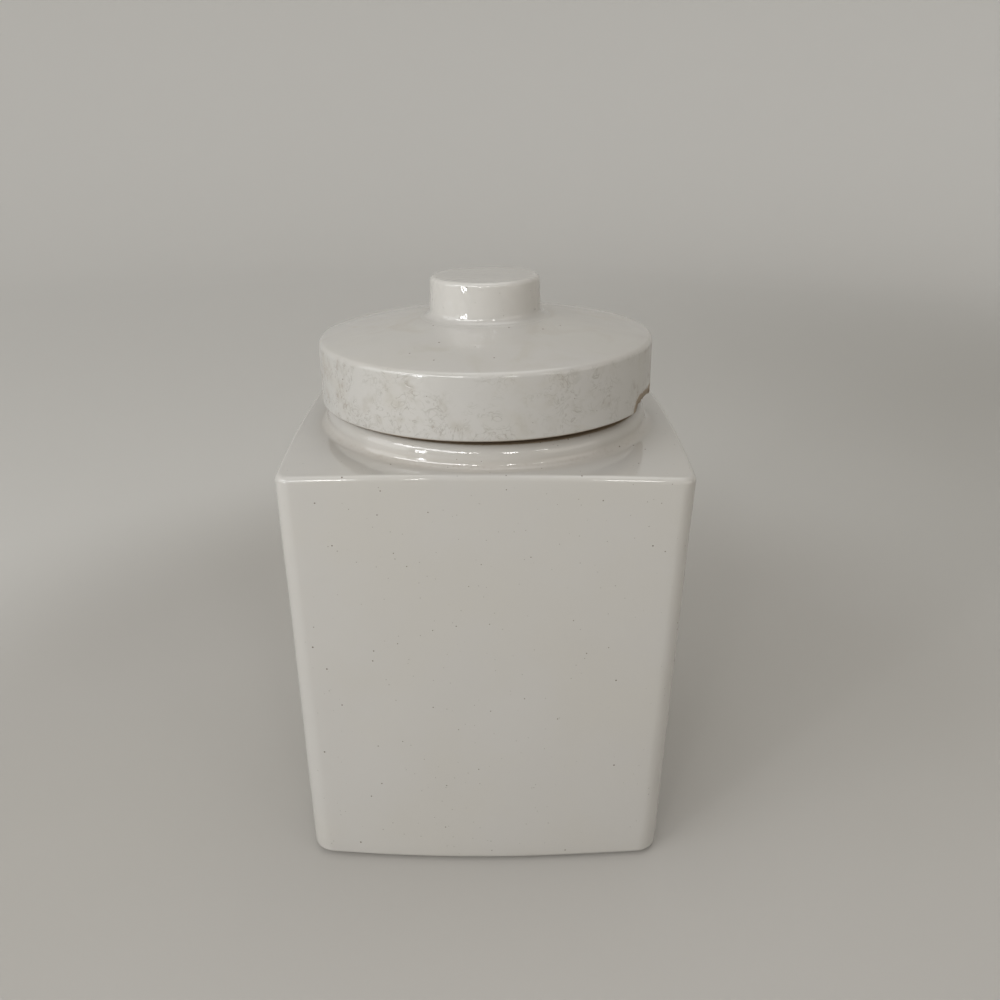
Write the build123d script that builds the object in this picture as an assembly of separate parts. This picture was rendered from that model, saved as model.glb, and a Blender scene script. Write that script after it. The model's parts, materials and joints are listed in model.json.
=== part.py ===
from build123d import *
import os
from math import cos, radians, sin, sqrt

# A ceramic tea canister: a square slip-cast jar with a rolled collar, and a round drum lid.
# The lid has a luted knob and a soft seal ring on its plug.
# Millimetres, +Z up, front towards -Y, origin at the middle of the foot plane.

# Jar body
body_width = 110.0           # across the two sides at the shoulder, bow included
body_depth = 105.8           # front to back at the shoulder, bow included
base_inset = 0.5             # how far each side draws in from the shoulder to the base
shoulder_bow = 1.1           # how far the middle of a side stands out, at the shoulder
base_bow = 2.8               # the same at the base
corner_radius = 4.5          # upright corners, seen from above, at the shoulder
base_corner_growth = 2.5     # they are rounder than that by this much at the base
shoulder_height = 124.6      # foot plane to the shoulder at the middle of a side
shoulder_crown = 1.4         # how much the shoulder rises from there to the collar's axis
shoulder_edge_radius = 1.5
base_edge_radius = 1.6
wall = 5.0                   # cast thickness of the sides and the shoulder
floor_thickness = 5.0
cavity_corner_radius = 5.0
cavity_edge_radius = 3.5

# Dry foot that the jar stands on
foot_height = 0.8
foot_inset = 3.0             # from the outside of the base to the foot
foot_width = 4.5
foot_inner_corner_radius = 3.0
foot_recess = 2.0            # foot plane to the underside of the floor

# Collar round the mouth
collar_forward = 2.0         # the cast neck stands this far in front of the body's middle
shoulder_ledge = 4.2         # shoulder outside the collar, where there is least
collar_height = 6.7          # shoulder to the top of the roll
collar_roll_radius = 3.5
collar_foot_fillet = 2.4
neck_wall = 5.9
mouth_lip_flat = 0.2         # level stretch between the roll and the rounded lip

# Lid
lid_overhang = 1.2           # the lid's wall beyond the roll
lid_wall_height = 17.5
lid_crown = 6.2              # the domed top rises this far above the rim
lid_shell = 5.0
lid_rim_radius = 1.6
lid_lower_edge_radius = 0.7
lid_inner_radius = 2.0
seat_clearance = 0.2         # lid to roll where they come closest
lean_to_side = 1.05          # degrees, right side up: the seal holds the lid askew
lean_to_front = 0.37         # degrees, front up

# Plug under the lid, with the groove for the seal
plug_clearance = 1.6         # plug to the wall of the mouth
plug_depth = 7.0
plug_wall = 4.5
plug_edge_radius = 0.8
groove_depth = 1.7
groove_height = 3.6
groove_drop = 1.7            # lid seat to the groove's upper side

# Seal ring
seal_groove_play = 0.1       # ring to groove, on each face
seal_mouth_clearance = 0.4   # fin tips to the wall of the mouth
seal_fin_thickness = 0.9
seal_band_proud = 0.2        # how far the band stands out of the groove

# Knob, luted to a flat landing on the lid
knob_radius = 16.0
knob_taper = 0.4             # smaller by this much at the top
knob_height = 11.2           # landing to the top
knob_base_fillet = 2.2
knob_top_edge_radius = 1.3
knob_top_crown = 0.4

# Chip in the lid's lower edge, a row of small flakes
chip_bearing = 62.5          # first flake, in degrees from the front towards the right
chip_spacing = 5.5           # degrees from flake to flake
chip_flakes = 4
chip_radius = 4.4            # of each flake's hollow
chip_standoff = 2.7          # its centre outside the wall
chip_drop = 0.4              # and below the lower edge

# Roundings never take more than these shares of the wall that carries them
roll_share = 0.6
fillet_share = 0.9

# Values that follow
collar_radius = min(body_width / 2, body_depth / 2 - collar_forward) - shoulder_ledge
roll_radius = min(collar_roll_radius, roll_share * neck_wall)
mouth_radius = collar_radius - neck_wall
collar_top = shoulder_height + collar_height
crown_top = shoulder_height + shoulder_crown
crown_sphere_radius = ((body_width / 2) ** 2 + shoulder_crown**2) / (2 * shoulder_crown)
lid_radius = collar_radius + lid_overhang
lid_sphere_radius = (lid_radius**2 + lid_crown**2) / (2 * lid_crown)
lid_top = lid_wall_height + lid_crown
plug_radius = mouth_radius - plug_clearance
plug_bore_radius = plug_radius - plug_wall
groove_top = -groove_drop
groove_bottom = groove_top - groove_height
groove_radius = plug_radius - groove_depth
knob_foot_radius = knob_radius + knob_base_fillet
lean = radians(sqrt(lean_to_side**2 + lean_to_front**2))
lid_seat_height = collar_top + seat_clearance + (collar_radius - roll_radius) * sin(lean)


def dome_height(sphere_radius, top, radius):
    """Height of a dome's surface at a distance from its axis."""
    return top - sphere_radius + sqrt(sphere_radius**2 - radius**2)


knob_landing = dome_height(lid_sphere_radius, lid_top, knob_foot_radius)


def line(start, end):
    """Straight edge of a turned profile, from (radius, height) to (radius, height)."""
    return Edge.make_line((start[0], 0, start[1]), (end[0], 0, end[1]))


def arc(start, middle, end):
    """Round edge of a turned profile through three (radius, height) points."""
    points = [(radius, 0, height) for radius, height in (start, middle, end)]
    return Edge.make_three_point_arc(*points)


def polyline(points):
    """Straight edges of a turned profile from point to point."""
    return [line(start, end) for start, end in zip(points, points[1:])]


def turned(edges, roundings=()):
    """Turn a closed profile about the axis, after rounding its (radius, height) corners."""
    face = Face(Wire(edges))
    for corner, radius in roundings:
        vertex = face.vertices().sort_by_distance(Vector(corner[0], 0, corner[1]))[0]
        face = face.fillet_2d(radius, [vertex])
    return revolve(face, Axis.Z, 360)


def corner_growth(height):
    """How much rounder the upright corners are at a height than at the shoulder."""
    return base_corner_growth * (1 - height / shoulder_height)


def body_section(height, inset, corner):
    """Bowed square of the body at a height, brought in evenly by an inset."""
    share = height / shoulder_height
    draw = base_inset * (1 - share)
    bow = base_bow + (shoulder_bow - base_bow) * share
    half_x = body_width / 2 - draw - inset
    half_y = body_depth / 2 - draw - inset
    corner_x = half_x - bow
    corner_y = half_y - bow
    sides = [
        ThreePointArc((-corner_x, -corner_y), (0, -half_y), (corner_x, -corner_y)),
        ThreePointArc((corner_x, -corner_y), (half_x, 0), (corner_x, corner_y)),
        ThreePointArc((corner_x, corner_y), (0, half_y), (-corner_x, corner_y)),
        ThreePointArc((-corner_x, corner_y), (-half_x, 0), (-corner_x, -corner_y)),
    ]
    face = Face(Wire([side.edge() for side in sides]))
    face = face.fillet_2d(corner, face.vertices())
    return Pos(0, 0, height) * face


def body_block(bottom, top, inset, radius):
    """Solid between two sections of the body, with this radius of the corners at the shoulder."""
    sections = [
        body_section(height, inset, radius + corner_growth(height))
        for height in (bottom, top)
    ]
    return Part() + loft(sections, ruled=True)


def collar_fillet_radius():
    """The fillet fits on the plain wall under the roll and on the ledge beside the collar."""
    rise = dome_height(crown_sphere_radius, crown_top, collar_radius)
    plain_wall = collar_top - roll_radius - rise
    plain_ledge = shoulder_ledge - shoulder_edge_radius
    return min(collar_foot_fillet, fillet_share * plain_wall, fillet_share * plain_ledge)


def crown_and_collar():
    """Turned form of the top: the crowned shoulder blends into the neck, which ends in a roll."""
    reach = body_width + body_depth
    crown = [
        (radius, dome_height(crown_sphere_radius, crown_top, radius))
        for radius in (reach, (reach + collar_radius) / 2, collar_radius)
    ]
    roll_height = collar_top - roll_radius
    roll_axis = collar_radius - roll_radius
    diagonal = roll_radius * sin(radians(45))
    edges = polyline([(0, collar_top), (0, 0), (reach, 0), crown[0]])
    edges.append(arc(*crown))
    edges.append(line(crown[2], (collar_radius, roll_height)))
    edges.append(
        arc(
            (collar_radius, roll_height),
            (roll_axis + diagonal, roll_height + diagonal),
            (roll_axis, collar_top),
        )
    )
    edges.append(line((roll_axis, collar_top), (0, collar_top)))
    form = turned(edges, [(crown[2], collar_fillet_radius())])
    to_the_back = Rot(0, 0, 90)     # the seam of the turned faces, where the ledge is widest
    return Pos(0, -collar_forward, 0) * to_the_back * form


def outer_body():
    """Outside of the body: bowed sides up to the crown, with the collar on it."""
    body = body_block(foot_height, collar_top + wall, 0, corner_radius) & crown_and_collar()
    sides = [face for face in body.faces() if face.bounding_box().size.Z > shoulder_height / 2]
    side_edges = ShapeList([edge for side in sides for edge in side.edges()])
    rim = side_edges.filter_by_position(Axis.Z, shoulder_height - wall, collar_top)
    body = fillet(rim, shoulder_edge_radius)
    bottom_edges = body.faces().sort_by(Axis.Z)[0].outer_wire().edges()
    return fillet(bottom_edges, base_edge_radius)


def foot_ring():
    """Dry ring under the base, as a solid block. The recess is cut later."""
    face = body_section(0, foot_inset, corner_radius + corner_growth(0) - foot_inset)
    return extrude(face, foot_height + base_edge_radius)


def cavity():
    """Space for the tea, up to the underside of the shoulder."""
    floor_top = foot_recess + floor_thickness
    block = body_block(floor_top, shoulder_height - wall, wall, cavity_corner_radius)
    faces = block.faces().sort_by(Axis.Z)
    rims = faces[0].edges() + faces[-1].edges()
    return fillet(rims, cavity_edge_radius)


def make_jar():
    """Slip-cast jar: body, foot and collar in one, with the cavity and the mouth open."""
    mouth_height = wall + collar_height
    mouth = Cylinder(mouth_radius, mouth_height, align=(Align.CENTER, Align.CENTER, Align.MIN))
    mouth = Pos(0, -collar_forward, shoulder_height - wall) * mouth
    recess_inset = foot_inset + foot_width
    recess = extrude(body_section(0, recess_inset, foot_inner_corner_radius), foot_recess)
    jar = outer_body() + foot_ring() - cavity() - mouth - recess
    lip_point = Vector(-mouth_radius, -collar_forward, collar_top)
    lip = jar.edges().sort_by_distance(lip_point)[0]
    return fillet(lip, neck_wall - roll_radius - mouth_lip_flat)


def lid_axis_place():
    """The lid stands askew on the roll, so its pieces share one leaning frame."""
    return Location((0, -collar_forward, lid_seat_height), (-lean_to_front, -lean_to_side, 0))


def make_lid():
    """Drain-cast drum lid: even shell, domed top, seat, and a plug with the seal's groove."""
    inner_radius = lid_radius - lid_shell
    inner_sphere_radius = lid_sphere_radius - lid_shell
    inner_top = lid_top - lid_shell
    inner_dome = [
        (radius, dome_height(inner_sphere_radius, inner_top, radius))
        for radius in (0, inner_radius / 2, inner_radius)
    ]
    outer_dome = [
        (radius, dome_height(lid_sphere_radius, lid_top, radius))
        for radius in (lid_radius, (lid_radius + knob_foot_radius) / 2, knob_foot_radius)
    ]
    edges = [arc(*inner_dome)]
    edges += polyline([
        inner_dome[2],
        (inner_radius, lid_shell),
        (plug_bore_radius, lid_shell),
        (plug_bore_radius, -plug_depth),
        (plug_radius, -plug_depth),
        (plug_radius, groove_bottom),
        (groove_radius, groove_bottom),
        (groove_radius, groove_top),
        (plug_radius, groove_top),
        (plug_radius, 0),
        (lid_radius, 0),
        (lid_radius, lid_wall_height),
    ])
    edges.append(arc(*outer_dome))
    edges += polyline([outer_dome[2], (0, knob_landing), inner_dome[0]])
    roundings = [
        (inner_dome[2], lid_inner_radius),
        ((inner_radius, lid_shell), lid_inner_radius),
        ((plug_bore_radius, lid_shell), lid_inner_radius),
        ((plug_bore_radius, -plug_depth), plug_edge_radius),
        ((plug_radius, -plug_depth), plug_edge_radius),
        ((lid_radius, 0), lid_lower_edge_radius),
        ((lid_radius, lid_wall_height), lid_rim_radius),
    ]
    lid = turned(edges, roundings)
    reach = lid_radius + chip_standoff
    for flake in range(chip_flakes):
        bearing = radians(chip_bearing + flake * chip_spacing)
        hollow = Sphere(chip_radius)
        lid -= Pos(reach * sin(bearing), -reach * cos(bearing), -chip_drop) * hollow
    return lid_axis_place() * lid


def make_knob():
    """Low round knob with a soft foot, flat underneath where it is luted on."""
    top = knob_landing + knob_height
    top_radius = knob_radius - knob_taper
    fillet_turn = knob_base_fillet * (1 - sin(radians(45)))
    crown_radius = (top_radius**2 + knob_top_crown**2) / (2 * knob_top_crown)
    half_way = top_radius / 2
    edges = polyline([(0, top + knob_top_crown), (0, knob_landing), (knob_foot_radius, knob_landing)])
    edges.append(
        arc(
            (knob_foot_radius, knob_landing),
            (knob_radius + fillet_turn, knob_landing + fillet_turn),
            (knob_radius, knob_landing + knob_base_fillet),
        )
    )
    edges.append(line((knob_radius, knob_landing + knob_base_fillet), (top_radius, top)))
    edges.append(
        arc(
            (top_radius, top),
            (half_way, dome_height(crown_radius, top + knob_top_crown, half_way)),
            (0, top + knob_top_crown),
        )
    )
    knob = turned(edges, [((top_radius, top), knob_top_edge_radius)])
    return lid_axis_place() * knob


def make_seal_ring():
    """Soft ring: a band that fills the groove, with a fin at its upper and lower side."""
    inner = groove_radius + seal_groove_play
    band = plug_radius + seal_band_proud
    tip = mouth_radius - seal_mouth_clearance
    high = groove_top - seal_groove_play
    low = groove_bottom + seal_groove_play
    ring = turned(polyline([
        (inner, high),
        (inner, low),
        (tip, low),
        (tip, low + seal_fin_thickness),
        (band, low + seal_fin_thickness),
        (band, high - seal_fin_thickness),
        (tip, high - seal_fin_thickness),
        (tip, high),
        (inner, high),
    ]))
    return lid_axis_place() * ring


os.makedirs("parts", exist_ok=True)
export_step(make_jar(), "parts/jar.step")
export_step(make_lid(), "parts/lid.step")
export_step(make_knob(), "parts/lid_knob.step")
export_step(make_seal_ring(), "parts/seal_ring.step")
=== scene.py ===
import json
from math import acos, atan2, cos, degrees, hypot, pi, radians, sin, sqrt, tan

import bpy
from mathutils import Matrix, Vector, noise


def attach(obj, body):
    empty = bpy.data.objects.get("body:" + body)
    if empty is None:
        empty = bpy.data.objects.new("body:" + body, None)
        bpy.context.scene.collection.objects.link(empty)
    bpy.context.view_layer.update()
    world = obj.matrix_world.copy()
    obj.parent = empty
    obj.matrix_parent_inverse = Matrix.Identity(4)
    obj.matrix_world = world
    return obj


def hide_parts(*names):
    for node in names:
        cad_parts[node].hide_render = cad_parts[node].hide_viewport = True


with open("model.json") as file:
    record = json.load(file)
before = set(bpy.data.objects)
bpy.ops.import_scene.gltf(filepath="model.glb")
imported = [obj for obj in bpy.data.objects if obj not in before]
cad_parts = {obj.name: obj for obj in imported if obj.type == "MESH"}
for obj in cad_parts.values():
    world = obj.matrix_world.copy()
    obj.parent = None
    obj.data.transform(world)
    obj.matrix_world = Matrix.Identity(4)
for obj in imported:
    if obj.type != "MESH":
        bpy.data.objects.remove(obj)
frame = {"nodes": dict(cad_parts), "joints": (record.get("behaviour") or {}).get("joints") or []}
bpy.context.view_layer.update()

# Sizes in millimetres, as in the part
MM = 0.001
BODY_WIDTH = 110.0
BODY_DEPTH = 105.8
BASE_INSET = 0.5
SHOULDER_BOW = 1.1
BASE_BOW = 2.8
CORNER_RADIUS = 4.5
BASE_CORNER_GROWTH = 2.5
SHOULDER_HEIGHT = 124.6
SHOULDER_CROWN = 1.4
SHOULDER_EDGE_RADIUS = 1.5
BASE_EDGE_RADIUS = 1.6
WALL = 5.0
FLOOR_THICKNESS = 5.0
CAVITY_CORNER_RADIUS = 5.0
CAVITY_EDGE_RADIUS = 3.5
FOOT_HEIGHT = 0.8
FOOT_INSET = 3.0
FOOT_WIDTH = 4.5
FOOT_INNER_CORNER_RADIUS = 3.0
FOOT_RECESS = 2.0
FOOT_EDGE_RADIUS = 0.3
COLLAR_FORWARD = 2.0
COLLAR_RADIUS = 46.7
COLLAR_HEIGHT = 6.7
ROLL_RADIUS = 3.5
COLLAR_FOOT_FILLET = 2.4
NECK_WALL = 5.9
LIP_RADIUS = 2.2
LID_OVERHANG = 1.2
LID_WALL_HEIGHT = 17.5
LID_CROWN = 6.2
LID_SHELL = 5.0
LID_RIM_RADIUS = 1.6
LID_LOWER_EDGE_RADIUS = 0.7
LID_INNER_RADIUS = 2.0
PLUG_CLEARANCE = 1.6
PLUG_DEPTH = 7.0
PLUG_WALL = 4.5
PLUG_EDGE_RADIUS = 0.8
GROOVE_DEPTH = 1.7
GROOVE_HEIGHT = 3.6
GROOVE_DROP = 1.7
KNOB_RADIUS = 16.0
KNOB_TAPER = 0.4
KNOB_HEIGHT = 11.2
KNOB_BASE_FILLET = 2.2
KNOB_TOP_EDGE_RADIUS = 1.3
KNOB_TOP_CROWN = 0.4
KNOB_TOE = 1.5               # the knob's glaze runs out over the lid this far past the foot
CHIP_BEARING = 62.5          # degrees from the front towards the right
CHIP_SPACING = 5.5
CHIP_FLAKES = 4
CHIP_RADIUS = 4.4
CHIP_STANDOFF = 2.7
CHIP_DROP = 0.4
CHIP_MARGIN = 1.2             # glaze flaked off around the chip
LEAN_TO_SIDE = 1.05
LEAN_TO_FRONT = 0.37


def arc_radius(half_chord, rise):
    """Radius of an arc that rises by so much over its chord."""
    return (half_chord**2 + rise**2) / (2 * rise)


COLLAR_TOP = SHOULDER_HEIGHT + COLLAR_HEIGHT
CROWN_TOP = SHOULDER_HEIGHT + SHOULDER_CROWN
CROWN_SPHERE = arc_radius(BODY_WIDTH / 2, SHOULDER_CROWN)
MOUTH_RADIUS = COLLAR_RADIUS - NECK_WALL
LID_RADIUS = COLLAR_RADIUS + LID_OVERHANG
LID_SPHERE = arc_radius(LID_RADIUS, LID_CROWN)
LID_TOP = LID_WALL_HEIGHT + LID_CROWN
KNOB_FOOT_RADIUS = KNOB_RADIUS + KNOB_BASE_FILLET

# The lid's own frame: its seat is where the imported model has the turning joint
turn_joint = [joint for joint in frame["joints"] if joint["name"] == "lid_turn"][0]
seat_centre = Vector(turn_joint["pos_m"])
lid_place = (
    Matrix.Translation(seat_centre)
    @ Matrix.Rotation(radians(-LEAN_TO_FRONT), 4, "X")
    @ Matrix.Rotation(radians(-LEAN_TO_SIDE), 4, "Y")
)


# Camera, from a fit to the photograph's outlines

CAMERA_PLACE = (0.000693, -0.274252, 0.210969)
CAMERA_YAW = -0.74           # degrees to the left
CAMERA_PITCH = 22.70         # degrees below level
CAMERA_ROLL = -0.42
CAMERA_LENS = 34.07          # millimetres
CAMERA_SENSOR = 36.0


def place_camera():
    yaw, pitch, roll = radians(CAMERA_YAW), radians(CAMERA_PITCH), radians(CAMERA_ROLL)
    forward = Vector((-sin(yaw) * cos(pitch), cos(yaw) * cos(pitch), -sin(pitch)))
    right = Vector((cos(yaw), sin(yaw), 0))
    down = forward.cross(right)
    image_right = cos(roll) * right + sin(roll) * down
    image_down = -sin(roll) * right + cos(roll) * down
    turn = Matrix((image_right, -image_down, -forward)).transposed()
    data = bpy.data.cameras.new("camera")
    data.sensor_width = CAMERA_SENSOR
    data.lens = CAMERA_LENS
    camera = bpy.data.objects.new("camera", data)
    camera.matrix_world = Matrix.Translation(CAMERA_PLACE) @ turn.to_4x4()
    bpy.context.scene.collection.objects.link(camera)
    bpy.context.scene.camera = camera


# Mesh building

def make_piece(name, rings, closed_start, closed_end, materials, marks=None):
    """Mesh from rings of equal length, in metres, with a point at either end where asked.

    marks is a dict of per-ring weights, stored as point attributes for the materials.
    """
    count = len(rings[0])
    points = [point for ring in rings for point in ring]
    faces = []
    for row in range(len(rings) - 1):
        for column in range(count):
            after = (column + 1) % count
            low, high = row * count, (row + 1) * count
            faces.append((low + column, low + after, high + after, high + column))
    weights = {}
    for mark, values in (marks or {}).items():
        weights[mark] = [value for value in values for _ in range(count)]
    for wanted, row in ((closed_start, 0), (closed_end, len(rings) - 1)):
        if not wanted:
            continue
        centre = sum((Vector(p) for p in rings[row]), Vector()) / count
        points.append(centre)
        for mark, values in weights.items():
            values.append(marks[mark][row])
        tip = len(points) - 1
        for column in range(count):
            after = (column + 1) % count
            a, b = row * count + column, row * count + after
            faces.append((tip, b, a) if row == 0 else (tip, a, b))
    mesh = bpy.data.meshes.new(name)
    mesh.from_pydata([tuple(p) for p in points], [], faces)
    for mark, values in weights.items():
        mesh.attributes.new(mark, "FLOAT", "POINT").data.foreach_set("value", values)
    mesh.shade_smooth()
    mesh.update()
    piece = bpy.data.objects.new(name, mesh)
    for material in materials:
        mesh.materials.append(material)
    bpy.context.scene.collection.objects.link(piece)
    return piece


def dome(sphere, top, radius):
    """Height of a spherical crown at a radius from its axis."""
    return top - sphere + sqrt(sphere**2 - radius**2)


def rounded(corners, steps=8):
    """Profile points of a polyline whose (radius, height) corners have their own rounding."""
    points = []
    for index, corner in enumerate(corners):
        here = Vector(corner[:2])
        size = corner[2] if len(corner) > 2 else 0
        if size == 0 or index in (0, len(corners) - 1):
            points.append(here)
            continue
        before = (Vector(corners[index - 1][:2]) - here).normalized()
        after = (Vector(corners[index + 1][:2]) - here).normalized()
        half = acos(max(-1, min(1, before.dot(after)))) / 2
        length = size / tan(half)
        centre = here + (before + after).normalized() * (size / sin(half))
        start, end = here + before * length - centre, here + after * length - centre
        turn = atan2(start.x * end.y - start.y * end.x, start.dot(end))
        for step in range(steps + 1):
            angle = turn * step / steps
            points.append(centre + Vector((
                start.x * cos(angle) - start.y * sin(angle),
                start.x * sin(angle) + start.y * cos(angle),
            )))
    return points


def evenly(count):
    """Angles of a full turn."""
    return [2 * pi * step / count for step in range(count)]


def refined(points, longest):
    """Profile with its long straight runs divided."""
    result = [points[0]]
    for start, end in zip(points, points[1:]):
        parts = max(1, round((end - start).length / longest(start, end)))
        result += [start.lerp(end, part / parts) for part in range(1, parts + 1)]
    return result


def wobble(point, size, seed):
    """Slow unevenness of a hand-finished surface, from -1 to 1."""
    shift = Vector((seed * 17.3, seed * 5.1, seed * 9.7))
    return noise.noise(Vector(point) / size + shift) * 1.4


def smooth_step(value, low, high):
    """0 below a range and 1 above it, with an even change between."""
    share = max(0.0, min(1.0, (value - low) / (high - low)))
    return share * share * (3 - 2 * share)


def roughen(piece, amplitude, size, seed, weight):
    """Move a mesh a little along its normals, in slow waves; sizes in millimetres."""
    mesh = piece.data
    normals = [vertex.normal.copy() for vertex in mesh.vertices]
    for vertex, normal in zip(mesh.vertices, normals):
        point = vertex.co / MM
        vertex.co += normal * wobble(point, size, seed) * amplitude * weight(point) * MM
    mesh.update()


# Jar

SIDE_STEPS = 30
CORNER_STEPS = 16
COLUMNS = 4 * (2 * SIDE_STEPS + CORNER_STEPS)
SIDE_ROWS = 44
CAVITY_ROWS = 20
MOUTH_LOWER_LIP = 1.2        # rounding of the mouth's lower edge
WORN_AND_GAP_SHADE = 2.6                   # weight of the mark where the lid has worn the glaze off; its darkened clay is also painted shade for the gap under the lid


def quadrant(half_x, half_y, bow, radius):
    """Front middle to right middle of a bowed square with rounded corners.

    The corner's arc touches the arcs of the front and of the side.
    """
    front_radius = arc_radius(half_x - bow, bow)
    side_radius = arc_radius(half_y - bow, bow)
    front = Vector((0, front_radius - half_y))
    side = Vector((half_x - side_radius, 0))
    to_side = side - front
    gap = to_side.length
    reach_front, reach_side = front_radius - radius, side_radius - radius
    along = (reach_front**2 - reach_side**2 + gap**2) / (2 * gap)
    across = sqrt(reach_front**2 - along**2)
    unit = to_side / gap
    corner = front + unit * along + Vector((-unit.y, unit.x)) * across
    start = (corner - front).normalized()
    end = (corner - side).normalized()
    points = []
    tilt = atan2(start.x, -start.y)
    for step in range(SIDE_STEPS):
        angle = tilt * step / SIDE_STEPS
        points.append(front + front_radius * Vector((sin(angle), -cos(angle))))
    low, high = atan2(start.y, start.x), atan2(end.y, end.x)
    for step in range(CORNER_STEPS):
        angle = low + (high - low) * step / CORNER_STEPS
        points.append(corner + radius * Vector((cos(angle), sin(angle))))
    for step in range(SIDE_STEPS):
        angle = high * (1 - step / SIDE_STEPS)
        points.append(side + side_radius * Vector((cos(angle), sin(angle))))
    return points


def corner_growth(height):
    return BASE_CORNER_GROWTH * (1 - height / SHOULDER_HEIGHT)


def outline(height, inset, corner=None):
    """Whole section of the body at a height, from the front middle round by the right.

    Without a corner radius of its own the section runs even with the outside.
    """
    share = height / SHOULDER_HEIGHT
    if corner is None:
        corner = CORNER_RADIUS + corner_growth(height) - inset
    draw = BASE_INSET * (1 - share)
    bow = BASE_BOW + (SHOULDER_BOW - BASE_BOW) * share
    half_x = BODY_WIDTH / 2 - draw - inset
    half_y = BODY_DEPTH / 2 - draw - inset
    quarter = quadrant(half_x, half_y, bow, corner)
    right_back = [Vector((p.x, -p.y)) for p in reversed(quarter[1:])]
    right = quarter + [Vector((half_x, 0))] + right_back
    left = [Vector((-p.x, p.y)) for p in reversed(right[1:])]
    return right + [Vector((0, half_y))] + left


def cavity(height, spread):
    """Section of the tea's space at a height, drawn in from the wall by a spread."""
    return outline(height, WALL + spread, CAVITY_CORNER_RADIUS + corner_growth(height) - spread)


def circle(radius):
    """Ring about the collar's axis, column by column with the body's section."""
    angles = [angle - pi / 2 for angle in evenly(COLUMNS)]
    return [Vector((radius * cos(a), radius * sin(a) - COLLAR_FORWARD)) for a in angles]


def from_axis(point):
    return hypot(point.x, point.y + COLLAR_FORWARD)


def lift(ring, height):
    return [Vector((p.x, p.y, height)) for p in ring]


def crowned(ring, drop=0.0):
    """Ring laid on the crown of the shoulder, or a little below it."""
    return [
        Vector((p.x, p.y, dome(CROWN_SPHERE, CROWN_TOP, from_axis(p)) - drop)) for p in ring
    ]


def blend_rings(first, second, share):
    return [a.lerp(b, share) for a, b in zip(first, second)]


def arc_steps(count):
    return [radians(90) * step / count for step in range(count + 1)]


def eased(count):
    """Shares from 0 to 1 that lie closer together at both ends."""
    return [(1 - cos(pi * step / count)) / 2 for step in range(count + 1)]


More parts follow.
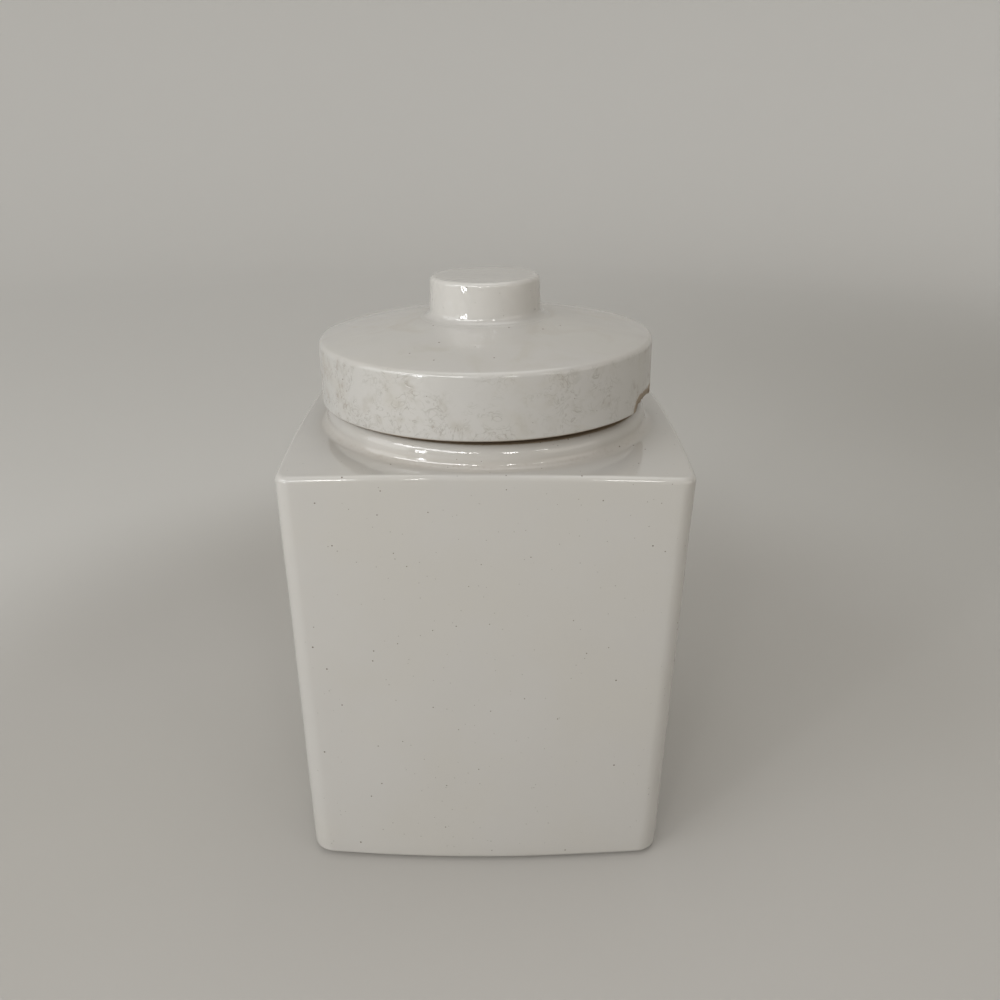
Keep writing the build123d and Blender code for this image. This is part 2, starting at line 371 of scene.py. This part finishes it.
def make_jar(materials):
    # Per-ring weights: painted shade in the crease at the collar's foot and under its roll, and
    # bare clay where the lid rubs, darkened as painted shade for the gap under the lid
    rings, shade_and_wear, rippled = [], [], []

    def add(ring, shade_and_wear_weight=0.0, uneven=0.0):
        rings.append(ring)
        shade_and_wear.append(shade_and_wear_weight)
        rippled.append(uneven)

    # Underside and foot
    recess_inset = FOOT_INSET + FOOT_WIDTH
    recess = outline(0, recess_inset, FOOT_INNER_CORNER_RADIUS)
    for share in (0.02, 0.25, 0.5, 0.75, 0.95):
        add(lift([p * share for p in recess], FOOT_RECESS))
    add(lift([p * 0.99 for p in recess], FOOT_RECESS - 0.1))
    add(lift(recess, FOOT_RECESS - 0.6))
    add(lift(recess, FOOT_EDGE_RADIUS))
    for angle in arc_steps(4)[1:]:
        spread = FOOT_EDGE_RADIUS * (1 - cos(angle))
        ring = outline(0, recess_inset - spread, FOOT_INNER_CORNER_RADIUS + spread)
        add(lift(ring, FOOT_EDGE_RADIUS * (1 - sin(angle))))
    for angle in reversed(arc_steps(4)):
        inset = FOOT_INSET + FOOT_EDGE_RADIUS * (1 - cos(angle))
        ring = outline(0, inset)
        add(lift(ring, FOOT_EDGE_RADIUS * (1 - sin(angle))))
    add(lift(outline(0, FOOT_INSET), FOOT_HEIGHT - 0.1))
    add(lift(outline(0, FOOT_INSET - 0.15), FOOT_HEIGHT))

    # Base edge
    for angle in reversed(arc_steps(8)):
        inset = BASE_EDGE_RADIUS * (1 - cos(angle))
        height = FOOT_HEIGHT + BASE_EDGE_RADIUS * (1 - sin(angle))
        add(lift(outline(height, inset), height))

    # Shoulder edge, worked out before the sides because they end under it
    shoulder_edge = []
    for angle in arc_steps(9):
        inset = SHOULDER_EDGE_RADIUS * (1 - cos(angle))
        ring = outline(SHOULDER_HEIGHT, inset)
        shoulder_edge.append(crowned(ring, SHOULDER_EDGE_RADIUS * (1 - sin(angle))))

    # Sides
    low = FOOT_HEIGHT + BASE_EDGE_RADIUS
    tops = shoulder_edge[0]
    for row in range(1, SIDE_ROWS):
        share = row / SIDE_ROWS
        ring = outline(low + (tops[0].z - low) * share, 0)
        add([Vector((p.x, p.y, low + (t.z - low) * share)) for p, t in zip(ring, tops)])
    for ring in shoulder_edge:
        add(ring)

    # Shoulder, from the bowed square to the round foot of the collar
    foot_circle = circle(COLLAR_RADIUS + COLLAR_FOOT_FILLET)
    square = [Vector((p.x, p.y)) for p in shoulder_edge[-1]]
    # Painted shade: browner and browner towards the crease at the collar's foot
    for share in eased(12)[1:]:
        add(crowned(blend_rings(square, foot_circle, share)), share**6 * 0.7)

    # Collar: fillet, neck, roll and lip
    rise = dome(CROWN_SPHERE, CROWN_TOP, COLLAR_RADIUS + COLLAR_FOOT_FILLET)
    # Painted shade: the fillet at the collar's foot is browned as a crease in shade
    for angle in arc_steps(9)[1:]:
        radius = COLLAR_RADIUS + COLLAR_FOOT_FILLET * (1 - sin(angle))
        height = rise + COLLAR_FOOT_FILLET * (1 - cos(angle))
        add(lift(circle(radius), height), 0.7 + 0.3 * sin(2 * angle), sin(angle))
    roll_height = COLLAR_TOP - ROLL_RADIUS
    for angle in arc_steps(16):
        radius = COLLAR_RADIUS - ROLL_RADIUS * (1 - cos(angle))
        height = roll_height + ROLL_RADIUS * sin(angle)
        # Painted shade under the roll's bulge; on its top, bare clay where the lid rubs, darkened
        # as painted shade for the gap under the lid
        worn_and_gap_shade = smooth_step(degrees(angle), 50, 75)
        shade_and_wear_weight = max(0.35 * cos(angle) ** 3, WORN_AND_GAP_SHADE * worn_and_gap_shade)
        add(lift(circle(radius), height), shade_and_wear_weight, 1.0 - worn_and_gap_shade)
    # Bare clay where the lid rubs on the lip, darkened as painted shade under the lid
    for angle in arc_steps(10):
        radius = MOUTH_RADIUS + LIP_RADIUS * (1 - sin(angle))
        height = COLLAR_TOP - LIP_RADIUS * (1 - cos(angle))
        add(lift(circle(radius), height), WORN_AND_GAP_SHADE * cos(angle) ** 4)

    # Inside: mouth, underside of the shoulder, cavity and floor
    ceiling = SHOULDER_HEIGHT - WALL
    for height in (COLLAR_TOP - 4, COLLAR_TOP - 6, ceiling + 3, ceiling + MOUTH_LOWER_LIP):
        add(lift(circle(MOUTH_RADIUS), height))
    for angle in arc_steps(5)[1:]:
        ring = circle(MOUTH_RADIUS + MOUTH_LOWER_LIP * (1 - cos(angle)))
        add(lift(ring, ceiling + MOUTH_LOWER_LIP * (1 - sin(angle))))
    cavity_edge = cavity(ceiling, CAVITY_EDGE_RADIUS)
    inner_circle = circle(MOUTH_RADIUS + MOUTH_LOWER_LIP)
    for share in eased(8)[1:-1]:
        add(lift(blend_rings(inner_circle, cavity_edge, share), ceiling))
    for angle in reversed(arc_steps(7)):
        spread = CAVITY_EDGE_RADIUS * (1 - cos(angle))
        height = ceiling - CAVITY_EDGE_RADIUS * (1 - sin(angle))
        add(lift(cavity(height, spread), height))
    floor_top = FOOT_RECESS + FLOOR_THICKNESS
    wall_top, wall_low = ceiling - CAVITY_EDGE_RADIUS, floor_top + CAVITY_EDGE_RADIUS
    for row in range(1, CAVITY_ROWS):
        height = wall_top + (wall_low - wall_top) * row / CAVITY_ROWS
        add(lift(cavity(height, 0), height))
    for angle in arc_steps(7):
        spread = CAVITY_EDGE_RADIUS * (1 - cos(angle))
        height = floor_top + CAVITY_EDGE_RADIUS * (1 - sin(angle))
        add(lift(cavity(height, spread), height))
    last = rings[-1]
    for share in (0.85, 0.6, 0.35, 0.12, 0.01):
        add([Vector((p.x * share, p.y * share, floor_top)) for p in last])

    jar = make_piece("jar_glazed", [[p * MM for p in ring] for ring in rings], True, True,
                     materials, {"shade_and_wear": shade_and_wear, "rippled": rippled})

    def between_foot_and_seat(point):
        return smooth_step(point.z, COLLAR_TOP - 2, COLLAR_TOP - 5) * smooth_step(point.z, 0.3, 1.5)

    roughen(jar, amplitude=0.11, size=21.0, seed=1, weight=between_foot_and_seat)
    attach(jar, "jar")
    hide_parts("jar")


# Lid and knob

LID_SEGMENTS = 256
KNOB_SEGMENTS = 192
CHIP_SEGMENTS = 3            # to a degree, across the chip
CHIP_SURROUND = 6            # degrees of fine mesh past the first and last flake
FINE_INSIDE = 43.2           # radius where the fine rows of the seat begin
FINE_HEIGHT = 5              # height where the fine rows of the wall end
WALL_RADIUS = 47.5           # what lies further out is the wall


def turned_rings(profile, angles):
    """Rings about the leaning axis of the lid, from a profile of radius and height."""
    rings = []
    for radius, height in profile:
        rings.append([
            lid_place @ (Vector((radius * sin(a), -radius * cos(a), height)) * MM) for a in angles
        ])
    return rings


def split_wall(profile):
    """Extra points where the fine rows of the wall and the seat begin."""
    result = []
    for start, end in zip(profile, profile[1:]):
        result.append(start)
        if min(start.x, end.x) > WALL_RADIUS and end.y - start.y > 9:
            result.append(start.lerp(end, (FINE_HEIGHT - start.y) / (end.y - start.y)))
        if start.y == 0 and end.y == 0 and end.x - start.x > 4:
            result.append(start.lerp(end, (FINE_INSIDE - start.x) / (end.x - start.x)))
    return result + [profile[-1]]


def make_lid(materials):
    plug_radius = MOUTH_RADIUS - PLUG_CLEARANCE
    bore = plug_radius - PLUG_WALL
    inner_radius = LID_RADIUS - LID_SHELL
    inner_sphere, inner_top = LID_SPHERE - LID_SHELL, LID_TOP - LID_SHELL
    groove_radius = plug_radius - GROOVE_DEPTH
    corners = [(0.3, inner_top)]
    for radius in (8, 16, 24, 32, 38):
        corners.append((radius, dome(inner_sphere, inner_top, radius)))
    corners += [
        (inner_radius, dome(inner_sphere, inner_top, inner_radius), LID_INNER_RADIUS),
        (inner_radius, LID_SHELL, LID_INNER_RADIUS),
        (bore, LID_SHELL, LID_INNER_RADIUS),
        (bore, -PLUG_DEPTH, PLUG_EDGE_RADIUS),
        (plug_radius, -PLUG_DEPTH, PLUG_EDGE_RADIUS),
        (plug_radius, -GROOVE_DROP - GROOVE_HEIGHT, 0.25),
        (groove_radius, -GROOVE_DROP - GROOVE_HEIGHT, 0.2),
        (groove_radius, -GROOVE_DROP, 0.2),
        (plug_radius, -GROOVE_DROP, 0.25),
        (plug_radius, 0, 0.4),
        (LID_RADIUS, 0, LID_LOWER_EDGE_RADIUS),
        (LID_RADIUS, LID_WALL_HEIGHT, LID_RIM_RADIUS),
    ]
    for radius in (45, 42, 38, 34, 30, 26, 22, KNOB_FOOT_RADIUS):
        corners.append((radius, dome(LID_SPHERE, LID_TOP, radius)))
    landing = dome(LID_SPHERE, LID_TOP, KNOB_FOOT_RADIUS)
    corners += [(KNOB_RADIUS - 2, landing), (1, landing)]

    def longest_run(start, end):
        """The mesh is fine near the lower edge, for the chip, and less so up the wall."""
        inner = min(start.x, end.x)
        low, high = sorted((start.y, end.y))
        if inner > FINE_INSIDE - 0.2 and low > -1 and high < FINE_HEIGHT + 1:
            return 0.32
        return 0.9 if inner > WALL_RADIUS else 2.5

    profile = refined(split_wall(rounded(corners)), longest_run)
    first = CHIP_BEARING - CHIP_SURROUND
    last = CHIP_BEARING + (CHIP_FLAKES - 1) * CHIP_SPACING + CHIP_SURROUND
    angles = [a for a in evenly(LID_SEGMENTS) if not first < degrees(a) < last]
    steps = round((last - first) * CHIP_SEGMENTS)
    angles += [radians(first + (last - first) * step / steps) for step in range(steps + 1)]
    angles.sort()
    lid = make_piece("lid_glazed", turned_rings(profile, angles), True, True, materials)
    to_lid = lid_place.inverted()

    def outside(point):
        own = (to_lid @ (point * MM)) / MM
        reach = hypot(own.x, own.y)
        if reach < LID_RADIUS - LID_SHELL / 2 and own.z < LID_WALL_HEIGHT:
            return 0.0
        return smooth_step(own.z, 0.5, 2.5) * smooth_step(reach, 21, 27)

    roughen(lid, amplitude=0.10, size=17.0, seed=2, weight=outside)
    press_chip(lid)
    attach(lid, "lid")
    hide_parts("lid")


def press_chip(lid):
    """Press the chip into the lower edge: the flakes of the part, with smaller ones between."""
    to_lid = lid_place.inverted()
    hollows = []
    for half in range(2 * CHIP_FLAKES - 1):
        jitter = noise.noise(Vector((half * 1.7, 3.3, 8.1)))
        bearing = radians(CHIP_BEARING + half * CHIP_SPACING / 2)
        reach = LID_RADIUS + CHIP_STANDOFF - 0.5
        centre = Vector((reach * sin(bearing), -reach * cos(bearing), -CHIP_DROP))
        hollows.append((centre, CHIP_RADIUS - 0.25 * (half % 2) + 0.5 * jitter))
    bare = [0.0] * len(lid.data.vertices)
    for vertex in lid.data.vertices:
        point = (to_lid @ vertex.co) / MM
        grain = 0.30 * noise.noise(point * 0.7) + 0.22 * noise.noise(point * 2.3)
        for centre, radius in hollows:
            offset = point - centre
            if offset.length < radius + grain + CHIP_MARGIN:
                bare[vertex.index] = 1.0
            if offset.length < radius + grain:
                point = centre + offset.normalized() * (radius + grain)
        if bare[vertex.index]:
            vertex.co = lid_place @ (point * MM)
    mark = lid.data.attributes.new("chip", "FLOAT", "POINT")
    mark.data.foreach_set("value", bare)
    lid.data.update()


def make_knob(materials):
    slope_height = dome(LID_SPHERE, LID_TOP, KNOB_FOOT_RADIUS)
    top = slope_height + KNOB_HEIGHT
    top_radius = KNOB_RADIUS - KNOB_TAPER
    crown = arc_radius(top_radius, KNOB_TOP_CROWN)
    toe = KNOB_FOOT_RADIUS + KNOB_TOE
    buried = slope_height - 0.9
    bend_radius = KNOB_FOOT_RADIUS + 0.3
    bend = dome(LID_SPHERE, LID_TOP, bend_radius) + 0.03
    corners = [
        (0.3, buried),
        (toe, buried),
        (toe, dome(LID_SPHERE, LID_TOP, toe) - 0.12),
        (bend_radius, bend, 3.0),
        (KNOB_RADIUS, bend + 0.25, KNOB_BASE_FILLET),
        (top_radius, top, KNOB_TOP_EDGE_RADIUS),
    ]
    for radius in (12, 9, 6, 3, 0.4):
        corners.append((radius, dome(crown, top + KNOB_TOP_CROWN, radius)))
    profile = refined(rounded(corners, 10), lambda start, end: 1.0)
    # The rippled mark also weights the knob's painted sheen: little on the top and near the foot,
    # full on the wall
    rippled = []
    for point in profile:
        side = smooth_step(point.x, KNOB_RADIUS - 3.0, KNOB_RADIUS - 1.0)
        above = smooth_step(point.y, slope_height + 0.3, slope_height + 3.0)
        rippled.append(above * (0.15 + 0.85 * side))
    rings = turned_rings(profile, evenly(KNOB_SEGMENTS))
    knob = make_piece("knob_glazed", rings, True, True, materials, {"rippled": rippled})
    to_lid = lid_place.inverted()

    def above_the_foot(point):
        return smooth_step((to_lid @ (point * MM)).z / MM, slope_height + 1.0, slope_height + 3.5)

    roughen(knob, amplitude=0.10, size=9.0, seed=3, weight=above_the_foot)
    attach(knob, "lid")
    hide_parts("lid_knob")


# Materials

class Nodes:
    """Short way to write a node tree: values may be numbers, colours or other nodes' sockets."""

    def __init__(self, name):
        self.material = bpy.data.materials.new(name)
        self.material.use_nodes = True
        self.tree = self.material.node_tree
        self.tree.nodes.clear()
        output = self.tree.nodes.new("ShaderNodeOutputMaterial")
        self.shader = self.tree.nodes.new("ShaderNodeBsdfPrincipled")
        self.tree.links.new(self.shader.outputs[0], output.inputs[0])
        self.position = self.add("TexCoord", {}, "Object")

    def add(self, kind, values, out=0, **settings):
        node = self.tree.nodes.new("ShaderNode" + kind)
        for name, value in settings.items():
            setattr(node, name, value)
        self.fill(node, values)
        return node.outputs[out]

    def fill(self, node, values):
        for key, value in values.items():
            socket = node.inputs[key]
            if isinstance(value, bpy.types.NodeSocket):
                self.tree.links.new(value, socket)
            else:
                socket.default_value = value

    def noise(self, size, detail=2.0, distortion=0.0, rough=0.5):
        """Noise whose features are about a size in millimetres."""
        values = {"Vector": self.position, "Scale": 1 / (size * MM), "Detail": detail,
                  "Distortion": distortion, "Roughness": rough}
        return self.add("TexNoise", values)

    def attribute(self, name):
        return self.add("Attribute", {}, "Fac", attribute_name=name)

    def math(self, operation, *values, clamp=False):
        return self.add("Math", dict(enumerate(values)), operation=operation, use_clamp=clamp)

    def ramp(self, value, low, high, to_low=0.0, to_high=1.0):
        """Smooth step of a value from one range to another."""
        values = {"Value": value, "From Min": low, "From Max": high,
                  "To Min": to_low, "To Max": to_high}
        return self.add("MapRange", values, interpolation_type="SMOOTHSTEP")

    def mix(self, share, first, second):
        """Colour between two others."""
        node = self.tree.nodes.new("ShaderNodeMix")
        node.data_type = "RGBA"
        colours = [index for index, socket in enumerate(node.inputs) if socket.type == "RGBA"]
        self.fill(node, {0: share, colours[0]: first, colours[1]: second})
        return [socket for socket in node.outputs if socket.type == "RGBA"][0]

    def dots(self, cell, smallest, largest, share, seed):
        """Scattered small spots: 1 inside a spot, 0 elsewhere.

        cell is their spacing in millimetres, and share is how many of the cells have a spot.
        """
        shift = (seed, seed * 1.7, seed * 0.6)
        vector = self.add("VectorMath", {0: self.position, 1: shift}, operation="ADD")
        node = self.tree.nodes.new("ShaderNodeTexVoronoi")
        self.fill(node, {"Vector": vector, "Scale": 1 / (cell * MM)})
        chance = self.add("SeparateColor", {0: node.outputs["Color"]})
        wide = self.add("SeparateColor", {0: node.outputs["Color"]}, 1)
        edge = self.math("MULTIPLY_ADD", wide, (largest - smallest) / cell, smallest / cell)
        reach = self.math("DIVIDE", node.outputs["Distance"], edge)
        inside = self.math("SUBTRACT", 1.0, reach, clamp=True)
        inside = self.ramp(inside, 0.0, 0.45)
        return self.math("MULTIPLY", inside, self.math("LESS_THAN", chance, share))

    def bump(self, height, strength, distance, normal=None):
        """Normal tilted by a height, whose full range stands for a distance in millimetres."""
        values = {"Height": height, "Strength": strength, "Distance": distance * MM}
        if normal is not None:
            values["Normal"] = normal
        return self.add("Bump", values)


def colour(red, green, blue):
    """Linear colour from 8-bit screen values."""
    def linear(value):
        value /= 255
        return value / 12.92 if value <= 0.04045 else ((value + 0.055) / 1.055) ** 2.4
    return (linear(red), linear(green), linear(blue), 1.0)


GLAZE = colour(190, 187, 182)
GLAZE_WARM = colour(189, 186, 179)
GLAZE_COOL = colour(190, 188, 184)
SPECK = colour(92, 78, 64)
CLAY = colour(176, 160, 138)
DARK_CLAY = colour(128, 113, 97)
GLAZE_IOR = 1.66


def glaze_colour(t):
    """Off-white with slow warm and cool drifts."""
    drift = t.ramp(t.noise(34, 3.0), 0.35, 0.65)
    base = t.mix(drift, GLAZE_WARM, GLAZE_COOL)
    return t.mix(0.5, base, GLAZE)


def body_glaze(name, ripple, grain, detail, painted_sheen):
    """Clear glossy glaze over an off-white body, bare on the foot and where the lid rubs, with
    painted shade: a brown tint in the collar's crease and under its roll, and darker clay where the
    lid rubs, for the gap under the lid.

    Its ripples, of a grain in millimetres, break up the highlights of the collar and the knob.
    The last argument is how much whiter the glaze is painted there: a painted sheen for the knob's
    glossy reflection.
    """
    t = Nodes(name)
    uneven = t.attribute("rippled")
    # Painted sheen: whiter glaze where it ripples, standing for the knob's glossy reflection
    base = t.mix(t.math("MULTIPLY", uneven, painted_sheen), glaze_colour(t), colour(212, 209, 203))
    # Painted shade: a brown tint by the jar's mark, in the collar's crease and under its roll
    shade_and_wear = t.attribute("shade_and_wear")
    base = t.mix(t.math("MULTIPLY", shade_and_wear, 0.20), base, colour(166, 152, 134))
    # Bare clay where the lid rubs, darker than the foot's clay as painted shade for the gap under
    # the lid
    worn_and_gap_shade = t.ramp(t.math("MULTIPLY_ADD", t.noise(1.2, 2.0), 0.8, shade_and_wear), 1.3, 2.3)
    rubbed_clay_and_gap_shade = t.mix(t.noise(0.8, 3.0), colour(126, 110, 92), colour(150, 135, 115))
    base = t.mix(worn_and_gap_shade, base, rubbed_clay_and_gap_shade)
    coarse = t.dots(3.2, 0.12, 0.34, 0.42, 3.1)
    fine = t.dots(2.0, 0.06, 0.19, 0.8, 7.7)
    spots = t.math("MAXIMUM", t.math("MULTIPLY", coarse, 0.85), t.math("MULTIPLY", fine, 0.6))
    base = t.mix(spots, base, SPECK)
    height = t.add("SeparateXYZ", {0: t.position}, 2)
    ragged = t.math("MULTIPLY_ADD", t.noise(3.0, 2.0), 0.0006, height)
    foot = t.math("LESS_THAN", ragged, 0.00085)
    base = t.mix(foot, base, t.mix(t.noise(0.5, 3.0), CLAY, colour(150, 134, 114)))
    bare = t.math("MAXIMUM", foot, worn_and_gap_shade)
    glazed = t.math("SUBTRACT", 1.0, t.math("MAXIMUM", bare, t.math("MULTIPLY", spots, 0.5)))
    slow = t.bump(t.noise(11.0, 1.0), 0.35, 0.25)
    slow = t.bump(t.math("SUBTRACT", 1.0, spots), 0.6, 0.12, slow)
    ripples = t.math("MULTIPLY_ADD", uneven, ripple, 0.15)
    peel = t.math("MULTIPLY", t.noise(grain, detail, rough=0.6), ripples)
    t.fill(t.shader, {"Base Color": base, "Roughness": 0.5, "Specular IOR Level": 0.1,
                      "Normal": slow, "Coat Weight": glazed, "Coat Roughness": 0.06,
                      "Coat IOR": GLAZE_IOR, "Coat Normal": t.bump(peel, 1.0, 0.035, slow)})
    return t.material


def curled_lines(t, size, turns, width, distortion):
    """Thin level lines of a warped noise."""
    field = t.noise(size, 3.0, distortion)
    wave = t.math("PINGPONG", t.math("MULTIPLY", field, turns), 0.5)
    return t.ramp(wave, width, width * 0.25)


def lid_glaze():
    """Duller glaze with crazing on the wall, and bare clay on the seat and in the chip; the seat's
    dark clay is also painted shade for the gap under the lid.
    """
    t = Nodes("lid_glaze_dressed")
    base = glaze_colour(t)
    x = t.add("SeparateXYZ", {0: t.position})
    # Height above the seat, along the leaning axis
    axis = lid_place.to_3x3() @ Vector((0, 0, 1))
    rise = t.add("VectorMath", {0: t.position, 1: tuple(axis)}, "Value", operation="DOT_PRODUCT")
    rise = t.math("SUBTRACT", rise, axis.dot(seat_centre))
    on_wall = t.ramp(rise, 0.0178, 0.0162)
    above = t.ramp(rise, 0.0002, 0.0009)
    wall = t.math("MULTIPLY", on_wall, above)
    low = t.ramp(rise, 0.015, 0.001)
    left = t.ramp(x, 0.045, -0.045)
    # Crazing: thin curled lines that come and go
    lines_a = curled_lines(t, 9.0, 5.0, 0.13, 2.6)
    lines_b = curled_lines(t, 4.6, 4.0, 0.12, 2.0)
    breaks = t.ramp(t.noise(3.6, 2.0), 0.36, 0.56)
    patches = t.noise(10.0, 3.0)
    bias = t.math("ADD", t.math("MULTIPLY", low, 0.11), t.math("MULTIPLY", left, 0.10))
    patches = t.ramp(t.math("ADD", patches, bias), 0.46, 0.66)
    crazing = t.math("MULTIPLY_ADD", lines_a, 0.8, t.math("MULTIPLY", lines_b, 0.5), clamp=True)
    crazed = t.math("MULTIPLY", patches, wall)
    crazing = t.math("MULTIPLY", t.math("MULTIPLY", crazing, breaks), crazed)
    blotch = t.math("MULTIPLY", t.ramp(t.noise(4.0, 4.0), 0.48, 0.75), crazed)
    stain = t.ramp(t.noise(13.0, 4.0, 0.8), 0.50, 0.72)
    for share, strength, tint in (
        (wall, 0.35, colour(190, 189, 186)),
        (stain, 0.30, colour(176, 169, 155)),
        (blotch, 0.36, colour(160, 151, 138)),
        (crazing, 0.38, colour(126, 117, 103)),
    ):
        base = t.mix(t.math("MULTIPLY", share, strength), base, tint)
    coarse = t.dots(5.0, 0.12, 0.34, 0.6, 5.3)
    fine = t.dots(2.6, 0.05, 0.18, 0.8, 1.9)
    fine = t.math("MULTIPLY", fine, t.math("MULTIPLY_ADD", wall, 0.5, 0.2))
    spots = t.math("MAXIMUM", t.math("MULTIPLY", coarse, 0.8), fine)
    base = t.mix(spots, base, SPECK)
    # Bare clay on the seat and in the chip; the seat's dark clay is also painted shade for the gap
    # under the lid
    mark = t.attribute("chip")
    chip = t.ramp(t.math("MULTIPLY_ADD", t.noise(0.7, 2.0), 0.5, mark), 0.55, 0.75)
    seat = t.math("MULTIPLY", t.ramp(rise, 0.0005, 0.0002), t.ramp(rise, -0.0004, -0.0001))
    clay = t.mix(t.noise(0.6, 3.0), DARK_CLAY, colour(156, 144, 126))
    base = t.mix(seat, base, clay)
    base = t.mix(chip, base, clay)
    rim = t.math("MULTIPLY", t.ramp(rise, 0.0150, 0.0162), t.ramp(rise, 0.0186, 0.0174))
    rough = t.math("MULTIPLY_ADD", wall, 0.10, 0.15)
    rough = t.math("MULTIPLY_ADD", rim, -0.09, rough)
    rough = t.math("MULTIPLY_ADD", t.math("MAXIMUM", chip, seat), 0.5, rough)
    normal = t.bump(t.noise(9.0, 1.0), 0.35, 0.25)
    normal = t.bump(t.noise(1.3, 3.0), 0.35, 0.05, normal)
    pitted = t.math("MAXIMUM", spots, t.math("MULTIPLY", crazing, 0.4))
    normal = t.bump(t.math("SUBTRACT", 1.0, pitted), 0.6, 0.1, normal)
    t.fill(t.shader, {"Base Color": base, "Roughness": rough, "Normal": normal,
                      "IOR": GLAZE_IOR})
    return t.material


def seal_rubber():
    """Translucent silicone, a little dusty."""
    t = Nodes("seal_dressed")
    dust = t.ramp(t.noise(6.0, 4.0), 0.45, 0.75)
    base = t.mix(t.math("MULTIPLY", dust, 0.5), colour(214, 212, 205), colour(196, 190, 178))
    rough = t.ramp(t.noise(4.0, 3.0), 0.3, 0.7, 0.42, 0.55)
    normal = t.bump(t.noise(0.8, 3.0), 0.3, 0.03)
    t.fill(t.shader, {"Base Color": base, "Roughness": rough, "Normal": normal, "IOR": 1.41,
                      "Subsurface Weight": 0.35, "Subsurface Scale": 0.002})
    return t.material


def stage_paint():
    """Pale paint, evened out by a faint glow that only the camera and reflections see."""
    t = Nodes("stage_paint")
    drift = t.ramp(t.noise(300, 3.0), 0.35, 0.65)
    floor = t.mix(drift, colour(177, 174, 168), colour(180, 177, 172))
    away = t.add("VectorMath", {0: t.position}, "Value", operation="LENGTH")
    backdrop = t.ramp(away, 0.17, 0.31)
    right = t.ramp(t.add("SeparateXYZ", {0: t.position}), -0.15, 0.6)
    base = t.mix(backdrop, floor, colour(188, 186, 181))
    # The glow: on the floor a little to the right, on the backdrop more where it is high
    camera, glossy = [t.add("LightPath", {}, ray) for ray in ("Is Camera Ray", "Is Glossy Ray")]
    seen = t.math("MAXIMUM", camera, glossy)
    near = t.math("MULTIPLY_ADD", right, 0.07, 0.005)
    near = t.math("MULTIPLY", near, t.math("SUBTRACT", 1.0, backdrop))
    high = t.ramp(away, 0.4, 1.4)
    shaded = t.math("MULTIPLY", right, t.math("SUBTRACT", 1.0, high))
    far = t.math("MULTIPLY_ADD", shaded, -0.11, 0.075)
    far = t.math("MULTIPLY_ADD", high, 0.06, far, clamp=True)
    glow = t.math("MULTIPLY_ADD", backdrop, far, near)
    t.fill(t.shader, {"Base Color": base, "Roughness": 0.55,
                      "Emission Color": (1.0, 0.985, 0.96, 1.0),
                      "Emission Strength": t.math("MULTIPLY", glow, seen)})
    return t.material


# Stage and light

STAGE_SEGMENTS = 96
WORLD_COLOUR = (1.0, 0.99, 0.975, 1.0)
WORLD_STRENGTH = 0.71
LAMP_TARGET = (0, 0, 0.10)
LAMP_MIDDLE = 0.13           # height that the lamps' own heights are counted from


def make_stage(material):
    """Pale floor that curves up into a round backdrop."""
    floor, bend = 1.0, 0.5
    profile = [(0.02, 0), (0.3, 0), (0.6, 0), (floor, 0)]
    profile += [(floor + bend * sin(a), bend * (1 - cos(a))) for a in arc_steps(16)[1:]]
    profile += [(floor + bend, 1.2), (floor + bend, 2.4)]
    angles = evenly(STAGE_SEGMENTS)
    rings = [[Vector((r * sin(a), r * cos(a), h)) for a in angles] for r, h in profile]
    stage = make_piece("stage", rings, True, False, [material])
    stage.visible_shadow = False


def area_light(name, place, size, power, tint):
    """Lamp that faces the canister."""
    data = bpy.data.lights.new(name, "AREA")
    data.shape = "RECTANGLE"
    data.size, data.size_y = size
    data.energy = power
    data.color = tint
    lamp = bpy.data.objects.new(name, data)
    aim = (Vector(LAMP_TARGET) - Vector(place)).to_track_quat("-Z", "Y")
    lamp.matrix_world = Matrix.Translation(place) @ aim.to_matrix().to_4x4()
    bpy.context.scene.collection.objects.link(lamp)


def from_front(bearing, rise, distance):
    """Place at a bearing from the front towards the right, at a rise in degrees."""
    level = distance * cos(radians(rise))
    side = level * sin(radians(bearing))
    ahead = -level * cos(radians(bearing))
    return (side, ahead, LAMP_MIDDLE + distance * sin(radians(rise)))


def light_scene():
    cool, plain, warm = (0.98, 0.99, 1.0), (1.0, 0.99, 0.97), (1.0, 0.92, 0.85)
    area_light("window", from_front(-42, 30, 1.1), (0.95, 0.18), 3.4, cool)
    area_light("side", from_front(-72, 14, 1.25), (0.8, 0.9), 3.5, cool)
    area_light("room", from_front(60, 8, 1.3), (1.0, 0.8), 2.05, warm)
    area_light("ceiling", (0.1, 0.15, 1.4), (0.9, 0.9), 2.4, plain)
    area_light("pane_left", from_front(-44, 7, 1.0), (0.08, 0.34), 1.7, cool)
    area_light("gleam_left", from_front(-18.6, 30, 1.0), (0.06, 0.14), 0.4, plain)
    area_light("gleam_middle", from_front(-9, 30, 1.0), (0.05, 0.10), 0.28, plain)
    area_light("gleam_right", from_front(16.5, 30, 1.0), (0.11, 0.10), 0.55, plain)
    area_light("gleam_side", from_front(40, 30, 1.0), (0.17, 0.03), 0.22, plain)
    world = bpy.data.worlds.new("world")
    bpy.context.scene.world = world
    world.use_nodes = True
    background = world.node_tree.nodes["Background"]
    background.inputs["Color"].default_value = WORLD_COLOUR
    background.inputs["Strength"].default_value = WORLD_STRENGTH


def main():
    bpy.context.scene.view_settings.view_transform = "Standard"
    place_camera()
    make_jar([body_glaze("jar_glaze", ripple=1.3, grain=1.6, detail=3.0, painted_sheen=0.0)])
    make_lid([lid_glaze()])
    make_knob([body_glaze("knob_glaze", ripple=5.0, grain=1.7, detail=0.0, painted_sheen=0.4)])
    frame["nodes"]["seal_ring"].material_slots[0].material = seal_rubber()
    make_stage(stage_paint())
    light_scene()


main()
bpy.context.view_layer.update()
